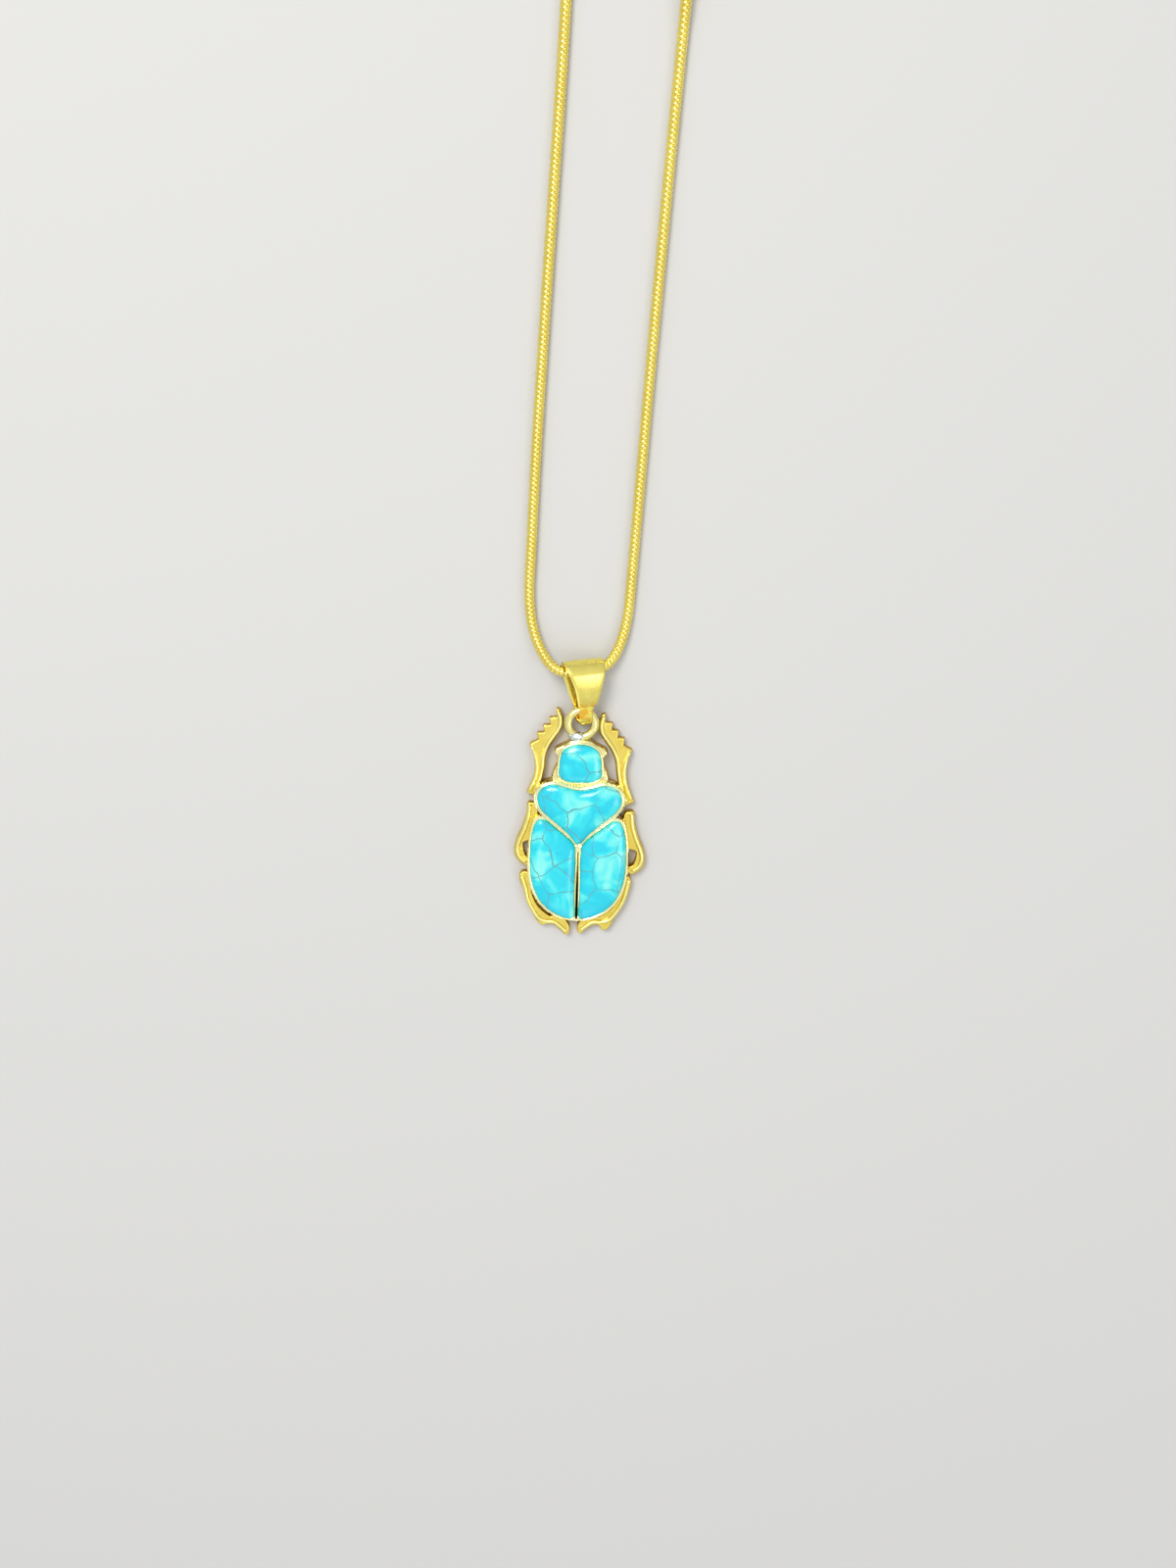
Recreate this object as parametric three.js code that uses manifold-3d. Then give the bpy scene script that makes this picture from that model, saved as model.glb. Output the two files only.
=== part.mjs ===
// Scarab pendant lying flat on a round snake chain, in millimetres, +Z up.
// The origin is the middle of the scarab's flat back, +Y points to the head, the ring and the bail.
import * as THREE from "three";
import * as BufferGeometryUtils from "three/addons/utils/BufferGeometryUtils.js";
import Module from "manifold-3d";

// The outlines are drawn for this length over the legs, and the plan scales with the length wanted
const drawnLength = 34.3;
const scarabLength = 34.3;
const plan = scarabLength / drawnLength;

// Scarab casting: heights above the flat back
const seatHeight = 1.0;
const legHeight = 1.75;
const beadRise = 0.3;
const beadFoot = 0.7;
const headPlateHeight = 2.35;
const headWallHeight = 2.55;
const wingWallHeight = 2.6;
const pronotumWallHeight = 2.8;
const wallRounding = 0.16;
const legRounding = 0.16;
const bandWidth = 0.6;
const headWallWidth = 0.4;
const beadWidth = 0.56;

// Scarab body, as shares of the plan: its half breadth and the places of its edges along Y
const bodyHalfWidth = 7.45;
const bodyFront = 2.2;
const bodyRear = -13.9;
const headTip = 13.5;

// The rib between the wing cells, and the groove along its middle
const splitHalfWidth = 0.42;
const splitGrooveWidth = 0.2;
const splitGrooveDepth = 0.7;
const splitGrooveFront = -3.0 * plan;
const splitGrooveRear = -13.5 * plan;

// Stones: how far the domes stand above the walls, where they start to curve, and the fit in the cells
const stoneGap = 0.07;
const stoneEdgeDrop = 0.15;
const domeSweep = 1.16;
const stoneRise = { head: 0.75, pronotum: 0.9, wing: 0.85 };

// Teeth of the front legs, from the foremost one on
const toothCount = 4;
const toothStart = new THREE.Vector2(-3.66, 16.47).multiplyScalar(plan);
const toothPitch = new THREE.Vector2(-0.84, -1.12).multiplyScalar(plan);
const toothReach = new THREE.Vector2(-1.0, -0.08).multiplyScalar(plan);

// The right legs were cast a little lower than the left ones and turned, as shares of the plan
const rightFront = { drop: 0.5, out: 0, turn: THREE.MathUtils.degToRad(2), about: [5.5, 11] };
const rightMiddle = { drop: 0.93, out: 0.45, turn: 0, about: [7, -1] };
const rightHind = { drop: 0.15, out: -0.35, turn: THREE.MathUtils.degToRad(-4), about: [7.5, -9] };
const rightShinExtra = 0.6;
const rightKneeDrop = 0.6;
const leftHeelBulb = 0.45;

// Jump ring, soldered to the front of the head
const ringWire = 1.05;
const ringOuterDiameter = 4.85;
const ringSolderGap = 0.07;
const ringSink = 0.17;
const ringHeight = 1.93;

// Folded bail: it hangs loose on the ring by its sag, and lies turned on the chain
const bailThickness = 0.42;
const bailSag = 0.775;
const bailTopDiameter = 3.8;
const bailRingPlay = 0.53;
const bailLength = 6.4;
const bailTopWidth = 6.0;
const bailFootWidth = 1.95;
const bailFlapStart = 2.35;
const bailFlapStep = 0.2;
const bailLoopWidth = 2.3;
const bailYaw = THREE.MathUtils.degToRad(17);
const bailPitch = THREE.MathUtils.degToRad(8.4);
const bailRoll = THREE.MathUtils.degToRad(3.2);
const bailShift = 0.28;

// Snake chain, its coil and its clasp
const chainDiameter = 1.5;
const touchGap = 0.3;
const coilCentre = new THREE.Vector2(5.2, 140);
const coilInnerRadius = 4.8;
const coilOuterRadius = 10;
const coilHeight = 3.1;
const coilRounding = 0.4;
const claspDiameter = 3.2;
const claspStart = new THREE.Vector3(10.66, 110.5, claspDiameter / 2);
const claspTurn = THREE.MathUtils.degToRad(-3.5);
const claspHalfLength = 6.35;
const claspMouthDiameter = 2.1;

const wasm = await Module();
wasm.setup();

const gold = { color: 0xe6cf63, roughness: 0.3, metalness: 1 };
const solderGold = { color: 0xe0b33c, roughness: 0.35, metalness: 1 };
const turquoise = { color: 0x4fe0ea, roughness: 0.18, metalness: 0 };

// A smooth closed or open outline through a few points of the plan
function smooth(points, count, closed = true) {
  const places = points.map(([x, y]) => new THREE.Vector3(x * plan, y * plan, 0));
  const curve = new THREE.CatmullRomCurve3(places, closed, "centripetal");
  const samples = curve.getSpacedPoints(count).map((p) => new THREE.Vector2(p.x, p.y));
  return closed ? withoutStraights(samples.slice(0, count)) : samples;
}

// Leaves out the points of an outline that lie on a straight stretch
function withoutStraights(outline) {
  return outline.filter((p, i) => {
    const before = outline[(i + outline.length - 1) % outline.length];
    const after = outline[(i + 1) % outline.length];
    const along = after.clone().sub(before).normalize();
    return Math.abs(along.cross(p.clone().sub(before))) > 0.003;
  });
}

// The right half of an outline, from front to rear, closed by its own mirror image
function mirrored(half) {
  const other = half.filter(([x]) => x > 0.01).map(([x, y]) => [-x, y]).reverse();
  return half.concat(other);
}

// Moves an outline outwards by a distance
function grow(outline, distance) {
  const area = THREE.ShapeUtils.area(outline);
  const sign = area > 0 ? 1 : -1;
  return outline.map((p, i) => {
    const before = outline[(i + outline.length - 1) % outline.length];
    const after = outline[(i + 1) % outline.length];
    const along = after.clone().sub(before).normalize();
    return new THREE.Vector2(p.x + along.y * distance * sign, p.y - along.x * distance * sign);
  });
}

// A band of one width that follows a centre line
function band(centre, width, steps) {
  const line = smooth(centre, steps, false);
  const left = [];
  const right = [];
  line.forEach((p, i) => {
    const along = line[Math.min(i + 1, steps)].clone().sub(line[Math.max(i - 1, 0)]).normalize();
    const across = new THREE.Vector2(-along.y, along.x).multiplyScalar(width / 2);
    left.push(p.clone().add(across));
    right.unshift(p.clone().sub(across));
  });
  return left.concat(right);
}

// A plate with an outline, from one height to another, with its edges broken by a small chamfer
function slab(outline, low, high, rounding = 0) {
  const geometry = new THREE.ExtrudeGeometry(new THREE.Shape(outline), {
    depth: high - low - rounding,
    bevelEnabled: rounding > 0,
    bevelThickness: rounding,
    bevelSize: rounding,
    bevelOffset: -rounding,
    bevelSegments: 1,
    steps: 1,
  });
  return geometry.translate(0, 0, low);
}

// A polished stone: upright sides up to its edge, then a dome that flattens towards the middle
function domed(outline, low, edge, top) {
  const rings = 5;
  const geometry = new THREE.ExtrudeGeometry(new THREE.Shape(outline), {
    depth: rings, bevelEnabled: false, steps: rings,
  });
  const middle = outline.reduce((sum, p) => sum.add(p), new THREE.Vector2()).divideScalar(outline.length);
  const place = geometry.attributes.position;
  for (let i = 0; i < place.count; i += 1) {
    const ring = Math.round(place.getZ(i));
    const turn = (Math.max(ring - 1, 0) / (rings - 1)) * domeSweep;
    const share = Math.cos(turn);
    place.setX(i, middle.x + (place.getX(i) - middle.x) * share);
    place.setY(i, middle.y + (place.getY(i) - middle.y) * share);
    place.setZ(i, ring === 0 ? low : edge + (top - edge) * Math.sin(turn) / Math.sin(domeSweep));
  }
  return geometry;
}

function solid(geometry) {
  const bare = new THREE.BufferGeometry().setAttribute("position", geometry.attributes.position.clone());
  if (geometry.index) bare.setIndex(geometry.index.clone());
  const merged = BufferGeometryUtils.mergeVertices(bare, 1e-4);
  return new wasm.Manifold(new wasm.Mesh({
    numProp: 3,
    vertProperties: new Float32Array(merged.attributes.position.array),
    triVerts: new Uint32Array(merged.index.array),
  }));
}

function geometryOf(body) {
  const mesh = body.getMesh();
  const geometry = new THREE.BufferGeometry();
  geometry.setAttribute("position", new THREE.BufferAttribute(new Float32Array(mesh.vertProperties), 3));
  geometry.setIndex(new THREE.BufferAttribute(new Uint32Array(mesh.triVerts), 1));
  geometry.computeVertexNormals();
  return geometry;
}

function piece(name, geometry, look) {
  const mesh = new THREE.Mesh(geometry, new THREE.MeshStandardMaterial(look));
  mesh.name = name;
  return mesh;
}

const object = new THREE.Group();

// Outlines of the four stones, right half first where they are symmetrical
const headStone = smooth(mirrored([
  [0, 12.75], [1.45, 12.5], [2.55, 11.7], [2.88, 10.7], [3.02, 9.4], [2.95, 8.1], [2.1, 7.45], [0, 7.25],
]), 28);
const pronotumStone = smooth(mirrored([
  [0, 6.08], [1.7, 6.35], [3.7, 6.85], [5.1, 6.45], [5.9, 5.5], [6.02, 4.4],
  [5.5, 3.2], [4.4, 2.1], [2.9, 0.85], [1.4, -0.5], [0, -1.95],
]), 40);
const wingStone = smooth([
  [splitHalfWidth, -3.9], [0.6, -2.4], [1.9, -0.9], [3.6, 0.45], [4.95, 1.45], [5.7, 1.55], [6.25, 0.95],
  [6.74, -0.7], [6.95, -3.1], [6.94, -5.7], [6.6, -8.1], [5.78, -10.2], [4.35, -11.95], [2.6, -13.0],
  [1.0, -13.45], [splitHalfWidth, -13.3], [splitHalfWidth, -10.4], [splitHalfWidth, -7.1],
], 44);
const otherWingStone = wingStone.map((p) => new THREE.Vector2(-p.x, p.y)).reverse();

// Outer outlines of the casting
const wingCase = smooth(mirrored([
  [0, bodyFront], [6.2, 1.95], [7.0, 0], [7.3, -2.1], [bodyHalfWidth, -4.4], [7.35, -6.6],
  [6.95, -8.7], [6.1, -10.6], [4.75, -12.2], [3.0, -13.3], [1.2, -13.82], [0, bodyRear],
]), 48);
const headCase = smooth(mirrored([
  [0, headTip], [1.4, 13.3], [2.2, 12.8], [3.1, 12.4], [3.72, 11.95], [3.8, 11.4], [3.45, 10.95],
  [3.32, 10.3], [3.6, 9.4], [3.97, 8.5], [4.08, 7.6], [2.8, 6.2], [0, 6.0],
]), 52);

// The parts of the casting start below its back, which is then cut flat, and holes run out above it
const below = -1;
const above = pronotumWallHeight + 1;

// A limb: a flat plate with raised beads along it
function limb(plate, beads) {
  let body = solid(slab(plate, below, legHeight - beadRise, legRounding));
  for (const centre of beads) {
    body = body.add(solid(slab(band(centre, beadWidth, 14), beadFoot, legHeight, legRounding)));
  }
  return body;
}

// A front leg: the broad digging shin, with a staircase of teeth on its outer side
function frontLeg(shinExtra) {
  const longer = ([x, y]) => [x, y - shinExtra * Math.max(0, 9 - y) / 4];
  const innerEdge = smooth([[-6.35, 4.75], [-5.9, 6.3], [-5.4, 7.5], [-5.12, 9.0], [-4.95, 10.8],
    [-4.4, 12.25], [-3.5, 13.7], [-2.75, 14.95], [-2.62, 16.3], [-3.1, 17.6]].map(longer), 15, false);
  const outerEdge = smooth([[-7.42, 12.45], [-6.88, 11.1], [-6.66, 10.0], [-6.62, 8.9], [-6.75, 7.8],
    [-7.2, 6.5], [-7.75, 5.25]].map(longer), 8, false);
  const teeth = [new THREE.Vector2(-3.62, 17.8).multiplyScalar(plan)];
  for (let k = 0; k < toothCount; k += 1) {
    const root = toothStart.clone().addScaledVector(toothPitch, k);
    teeth.push(root);
    if (k < toothCount - 1) teeth.push(root.clone().add(toothReach));
  }
  const innerBead = [[-6.55, 5.5], [-6.2, 6.5], [-5.8, 7.6], [-5.52, 9.0], [-5.34, 10.9], [-4.77, 12.5],
    [-3.87, 13.95], [-3.16, 15.1], [-3.06, 16.2], [-3.3, 17.1]].map(longer);
  const outerBead = [[-7.0, 11.9], [-6.44, 10.4], [-6.24, 9.0], [-6.45, 7.6], [-6.85, 6.6],
    [-7.2, 5.8]].map(longer);
  return limb(innerEdge.concat(teeth, outerEdge), [innerBead, outerBead]);
}

// A middle leg: a flat plate that leaves the shoulder, bends out and turns back to the body round a hole
function middleLeg() {
  const plate = smooth([[-6.2, 3.5], [-6.9, 3.78], [-7.5, 3.7], [-7.68, 2.2], [-8.35, -0.1], [-9.1, -1.9],
    [-9.42, -3.4], [-9.1, -4.7], [-8.3, -5.5], [-7.4, -5.8], [-6.7, -5.2], [-6.3, -3.0], [-6.1, 0.5]], 34);
  const hole = smooth([[-6.7, -4.55], [-7.55, -4.4], [-8.05, -3.1], [-8.0, -2.3], [-6.7, -2.1]], 14);
  const bead = [[-7.2, 3.2], [-7.4, 1.5], [-7.95, -0.3], [-8.68, -2.1], [-8.92, -3.4],
    [-8.55, -4.5], [-7.8, -5.15]];
  return limb(plate, [bead]).subtract(solid(slab(hole, below, above)));
}

// A hind leg: it follows the wing case round to the tail, stands off it by a crescent and ends in a foot
function hindLeg(bulb, kneeDrop) {
  const plate = smooth([[-6.4, -7.6], [-7.3, -6.8], [-7.75 - bulb, -6.85], [-8.15 - bulb, -7.4],
    [-8.25 - bulb * 0.6, -8.2], [-7.98, -9.5], [-7.7, -10.8], [-7.22, -12.0], [-6.55, -13.2],
    [-6.0, -14.2 - kneeDrop * 0.5], [-5.4, -14.9 - kneeDrop], [-4.75, -15.05 - kneeDrop],
    [-4.05, -14.8 - kneeDrop * 0.2], [-3.2, -15.1], [-2.3, -15.85], [-1.45, -16.55], [-1.08, -16.3],
    [-0.98, -15.3], [-1.5, -14.2], [-2.4, -13.2], [-4.6, -11.6], [-6.0, -9.6]], 50);
  const crescent = smooth([[-6.75, -9.5], [-6.5, -10.6], [-5.8, -12.0], [-4.8, -13.0], [-3.7, -13.6],
    [-3.6, -12.6], [-5.4, -10.9]], 18);
  const bead = [[-7.85 - bulb * 0.7, -7.6], [-7.62, -9.3], [-7.28, -10.9], [-6.55, -12.5], [-5.55, -13.9],
    [-4.5, -14.35], [-3.3, -14.45], [-2.3, -15.15], [-1.6, -15.8]];
  return limb(plate, [bead]).subtract(solid(slab(crescent, below, above)));
}

// Mirrors a left limb to the right side and settles it there
function toRight(body, settled) {
  const [x, y] = settled.about;
  const place = new THREE.Matrix4().makeTranslation((x + settled.out) * plan, (y - settled.drop) * plan, 0)
    .multiply(new THREE.Matrix4().makeRotationZ(settled.turn))
    .multiply(new THREE.Matrix4().makeTranslation(-x * plan, -y * plan, 0));
  return body.mirror([1, 0, 0]).transform(place.elements);
}

// Jump ring: its wire sinks a little into the front rim of the head, where it is soldered
const ringRadius = (ringOuterDiameter - ringWire) / 2;
const ringCentreY = headTip * plan - ringSink + ringOuterDiameter / 2;
function ringGeometry(wireRadius) {
  const torus = new THREE.TorusGeometry(ringRadius, wireRadius, 10, 32);
  return torus.translate(0, ringCentreY, ringHeight);
}

// The casting: raised walls round four cells, six legs, and a grooved rib between the wing cells
function casting() {
  let body = solid(slab(wingCase, below, wingWallHeight, wallRounding));
  body = body.add(solid(slab(grow(pronotumStone, bandWidth), below, pronotumWallHeight, wallRounding)));
  body = body.add(solid(slab(headCase, below, headPlateHeight, wallRounding)));
  body = body.add(solid(slab(grow(headStone, headWallWidth), beadFoot, headWallHeight, wallRounding)));
  body = body.add(frontLeg(0)).add(toRight(frontLeg(rightShinExtra), rightFront));
  body = body.add(middleLeg()).add(toRight(middleLeg(), rightMiddle));
  body = body.add(hindLeg(leftHeelBulb, 0)).add(toRight(hindLeg(0, rightKneeDrop), rightHind));
  for (const stone of [headStone, pronotumStone, wingStone, otherWingStone]) {
    body = body.subtract(solid(slab(grow(stone, stoneGap), seatHeight, above)));
  }
  const grooveLength = splitGrooveFront - splitGrooveRear;
  const groove = new THREE.BoxGeometry(splitGrooveWidth, grooveLength, splitGrooveDepth * 2);
  body = body.subtract(solid(groove.translate(0, splitGrooveRear + grooveLength / 2, wingWallHeight)));
  const ground = new THREE.BoxGeometry(scarabLength * 2, scarabLength * 2, -2 * below);
  body = body.subtract(solid(ground.translate(0, 0, below)));
  return body.subtract(solid(ringGeometry(ringWire / 2 + ringSolderGap)));
}

object.add(piece("scarab_frame", geometryOf(casting()), gold));

// The stones stand on the floor of their cells with an even gap all round
function stone(name, outline, wall, rise) {
  const low = seatHeight + stoneGap;
  return piece(name, domed(outline, low, wall - stoneEdgeDrop, wall + rise), turquoise);
}
object.add(stone("head_stone", headStone, headWallHeight, stoneRise.head));
object.add(stone("pronotum_stone", pronotumStone, pronotumWallHeight, stoneRise.pronotum));
object.add(stone("left_wing_stone", otherWingStone, wingWallHeight, stoneRise.wing));
object.add(stone("right_wing_stone", wingStone, wingWallHeight, stoneRise.wing));
object.add(piece("jump_ring", ringGeometry(ringWire / 2), gold));

// The outline of a strap round a small and a large circle, seen from the side
function strap(footRadius, topRadius, length) {
  const lean = Math.asin((topRadius - footRadius) / length);
  const outline = [];
  for (let k = 0; k <= 12; k += 1) {
    const turn = -lean + (k / 12) * (Math.PI + 2 * lean);
    outline.push(new THREE.Vector2(length + topRadius * Math.sin(turn), topRadius * Math.cos(turn)));
  }
  for (let k = 0; k <= 8; k += 1) {
    const turn = Math.PI + lean + (k / 8) * (Math.PI - 2 * lean);
    outline.push(new THREE.Vector2(footRadius * Math.sin(turn), footRadius * Math.cos(turn)));
  }
  return outline;
}

// Bail: one strap folded over the chain, tapering to a narrow loop that hooks through the ring
function bail() {
  const topRadius = bailTopDiameter / 2;
  const footInner = ringWire / 2 + bailRingPlay;
  const footRadius = footInner + bailThickness;
  const side = new THREE.Shape(strap(footRadius, topRadius, bailLength));
  side.holes.push(new THREE.Path(strap(footInner, topRadius - bailThickness, bailLength).reverse()));
  const wide = new THREE.ExtrudeGeometry(side, { depth: bailTopWidth + 2, bevelEnabled: false });
  // the side view lies in Y and Z, and its depth runs along X
  const basis = new THREE.Matrix4().makeBasis(
    new THREE.Vector3(0, 1, 0), new THREE.Vector3(0, 0, 1), new THREE.Vector3(1, 0, 0));
  wide.applyMatrix4(basis).translate(-bailTopWidth / 2 - 1, 0, 0);
  const foot = bailFootWidth / 2;
  const top = bailTopWidth / 2;
  const taper = mirrored([
    [0, -footRadius - 0.05], [foot * 0.5, -footRadius * 0.9], [foot * 0.85, -footRadius * 0.6],
    [foot, -0.25], [foot, 1.3],
    [THREE.MathUtils.lerp(foot, top, 0.28), 2.4], [THREE.MathUtils.lerp(foot, top, 0.58), 4.2],
    [THREE.MathUtils.lerp(foot, top, 0.8), 5.9], [THREE.MathUtils.lerp(foot, top, 0.97), 7.8],
    [top, bailLength + topRadius + 1.5], [0, bailLength + topRadius + 1.5],
  ]);
  const outline = slab(smooth(taper, 56), -topRadius - 1, topRadius + 1);
  let body = solid(wide).intersect(solid(outline));
  // the front flap ends in a step, and the loop below it is narrower and lower
  const reach = topRadius * 2;
  const front = new THREE.BoxGeometry(bailTopWidth * 2, reach, reach)
    .translate(0, bailFlapStart - reach / 2, reach / 2);
  const loop = new THREE.BoxGeometry(bailLoopWidth, reach + bailThickness * 2, reach * 1.5)
    .translate(0, bailFlapStart - reach / 2, reach / 2);
  const lower = solid(wide.clone().translate(0, 0, -bailFlapStep));
  body = body.subtract(solid(front)).add(body.intersect(solid(loop)).intersect(lower));
  return geometryOf(body);
}

const bailGroup = new THREE.Group();
bailGroup.position.set(bailShift, ringCentreY + ringRadius - bailSag, ringHeight);
bailGroup.rotation.set(bailPitch, bailYaw, bailRoll, "ZXY");
bailGroup.add(piece("bail", bail(), solderGold));
object.add(bailGroup);

// A round tube through the points of a route
function tube(points, steps) {
  const section = new THREE.Shape();
  section.absarc(0, 0, chainDiameter / 2, 0, Math.PI * 2);
  const places = points.map(([x, y, z]) => new THREE.Vector3(x, y, z));
  const route = new THREE.CatmullRomCurve3(places, false, "centripetal");
  return new THREE.ExtrudeGeometry(new THREE.Shape(section.getPoints(2).slice(0, 8)), {
    steps, extrudePath: route, bevelEnabled: false,
  });
}

// The route of the chain from the clasp down to the bail, through it, and up again to the coil
const floorHeight = chainDiameter / 2;
const runRoute = [
  [10.64, 110.2, 1.6], [10.58, 109.0, 1.5], [10.36, 105.2, 0.95], [10.1, 101.0, floorHeight],
  [9.4, 90.2, floorHeight], [8.83, 80.5, floorHeight], [8.25, 70.8, floorHeight],
  [7.7, 60.9, floorHeight], [7.15, 50.6, floorHeight], [6.6, 40.1, floorHeight],
  [6.3, 34.7, floorHeight], [6.12, 32.0, 0.77], [5.78, 29.6, 0.85], [5.2, 27.4, 1.0],
  [4.35, 25.5, 1.35], [3.2, 24.2, 1.86], [1.7, 23.6, 2.34], [0.1, 23.38, 2.82],
  [-1.6, 23.28, 3.28], [-3.0, 23.4, 3.54], [-4.2, 23.95, 3.17], [-5.3, 25.0, 2.33],
  [-6.2, 26.4, 1.5], [-6.9, 28.0, 1.02], [-7.4, 29.8, 0.8], [-7.7, 31.8, floorHeight],
  [-7.85, 34.6, floorHeight], [-7.67, 39.8, floorHeight],
  [-7.32, 50.3, floorHeight], [-6.87, 60.5, floorHeight], [-6.38, 70.4, floorHeight],
  [-5.88, 80.1, floorHeight], [-5.38, 89.5, floorHeight], [-4.9, 98.6, floorHeight],
  [-4.5, 107.6, floorHeight], [-4.16, 118.0, floorHeight], [-4.0, 128.0, floorHeight],
  [-4.0, coilCentre.y - 5.7, floorHeight],
];
object.add(piece("chain_run", tube(runRoute, 66), gold));

// The coil of the chain that lies beyond the pendant: one ring of two layers of turns
const coilSection = [
  [coilInnerRadius, 0], [coilOuterRadius - coilRounding, 0], [coilOuterRadius, coilRounding],
  [coilOuterRadius, coilHeight - coilRounding], [coilOuterRadius - coilRounding, coilHeight],
  [coilInnerRadius, coilHeight], [coilInnerRadius, 0],
].map(([radius, height]) => new THREE.Vector2(radius, height));
const coil = new THREE.LatheGeometry(coilSection, 40).rotateX(Math.PI / 2);
coil.translate(coilCentre.x, coilCentre.y, 0);
object.add(piece("chain_coil", coil, gold));

const claspLength = claspHalfLength * 2 + touchGap;
const claspAlong = new THREE.Vector3(-Math.sin(claspTurn), Math.cos(claspTurn), 0);
const claspEnd = claspStart.clone().addScaledVector(claspAlong, claspLength + touchGap);
const tailRoute = [
  [claspEnd.x, claspEnd.y, claspEnd.z], [claspEnd.x + 0.15, claspEnd.y + 1.3, 1.62],
  [claspEnd.x + 0.7, claspEnd.y + 3.8, 1.75], [13.4, 130.2, 2.05], [14.1, 132.4, 2.2],
  [14.4, coilCentre.y - 5.7, 2.25],
];
object.add(piece("chain_tail", tube(tailRoute, 6), gold));

// One half of the screwed barrel clasp, from its narrow mouth to its flat joint
function claspHalf() {
  const profile = [
    [0, 0], [claspMouthDiameter / 2, 0], [claspMouthDiameter / 2 + 0.12, 0.5], [claspDiameter / 2 - 0.1, 2.0],
    [claspDiameter / 2, 2.6], [claspDiameter / 2, claspHalfLength - 0.3],
    [claspDiameter / 2 - 0.2, claspHalfLength], [0, claspHalfLength],
  ].map(([radius, along]) => new THREE.Vector2(radius, along));
  return new THREE.LatheGeometry(profile, 20);
}

const clasp = new THREE.Group();
clasp.position.copy(claspStart);
clasp.rotation.z = claspTurn;
clasp.add(piece("clasp_near_half", claspHalf(), gold));
const farHalf = piece("clasp_far_half", claspHalf(), gold);
farHalf.position.y = claspLength;
farHalf.rotation.z = Math.PI;
clasp.add(farHalf);
object.add(clasp);

export default object;
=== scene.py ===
import math

import bpy
import numpy as np
from mathutils import Matrix, Vector


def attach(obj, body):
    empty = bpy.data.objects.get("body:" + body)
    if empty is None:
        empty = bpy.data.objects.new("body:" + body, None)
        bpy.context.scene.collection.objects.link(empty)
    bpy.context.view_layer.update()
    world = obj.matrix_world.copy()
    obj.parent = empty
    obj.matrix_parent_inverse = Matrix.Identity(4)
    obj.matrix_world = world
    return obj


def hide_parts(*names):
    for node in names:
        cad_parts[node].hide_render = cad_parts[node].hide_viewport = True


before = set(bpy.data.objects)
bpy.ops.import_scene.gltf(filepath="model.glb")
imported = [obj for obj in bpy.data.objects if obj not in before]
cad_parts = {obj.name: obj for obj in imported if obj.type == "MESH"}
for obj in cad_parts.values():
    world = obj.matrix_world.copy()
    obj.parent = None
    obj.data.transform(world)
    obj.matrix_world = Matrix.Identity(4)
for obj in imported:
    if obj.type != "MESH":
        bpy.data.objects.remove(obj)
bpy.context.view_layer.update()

# Camera
# A phone held a hand's width above the pendant, leaning 14 degrees towards the clasp end of the chain
# and turned a little, so the pendant leans to the right in the picture.
camera_lens = 28.0
camera_height_of_film = 36.0
camera_place = (0.00116, 0.04947, 0.17257)
camera_lean = math.radians(14.0)
camera_turn = math.radians(1.7)

camera_data = bpy.data.cameras.new("camera")
camera_data.lens = camera_lens
camera_data.sensor_width = camera_height_of_film
camera_data.clip_start = 0.01
camera = bpy.data.objects.new("camera", camera_data)
bpy.context.scene.collection.objects.link(camera)
camera.matrix_world = (
    Matrix.Translation(camera_place)
    @ Matrix.Rotation(-camera_lean, 4, "X")
    @ Matrix.Rotation(camera_turn, 4, "Z")
)
bpy.context.scene.camera = camera


# Snake chain
# A round snake chain of 1.5 mm: wavy stamped links pushed tightly into each other over a hollow core,
# gold plated and burnished. It is one loose length that runs from the clasp down to the bail and back.
chain_diameter = 0.0015
chain_length = 0.437
link_pitch = 0.00063
chain_floor = chain_diameter / 2
chain_around = 24
# a link's edge waves three times round the chain, and a notch at each turn of the wave shows as dotted seams
link_waves = 3
link_wave_height = 0.34
seam_start = 0.55
# each row of a link: its place along the link, its radius, and how far the seam notch cuts in
link_rows = [
    (0.0, 0.86, 0.24), (0.16, 0.97, 0.16), (0.42, 1.0, 0.02), (0.7, 0.99, 0.02), (0.88, 0.94, 0.14),
]

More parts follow.
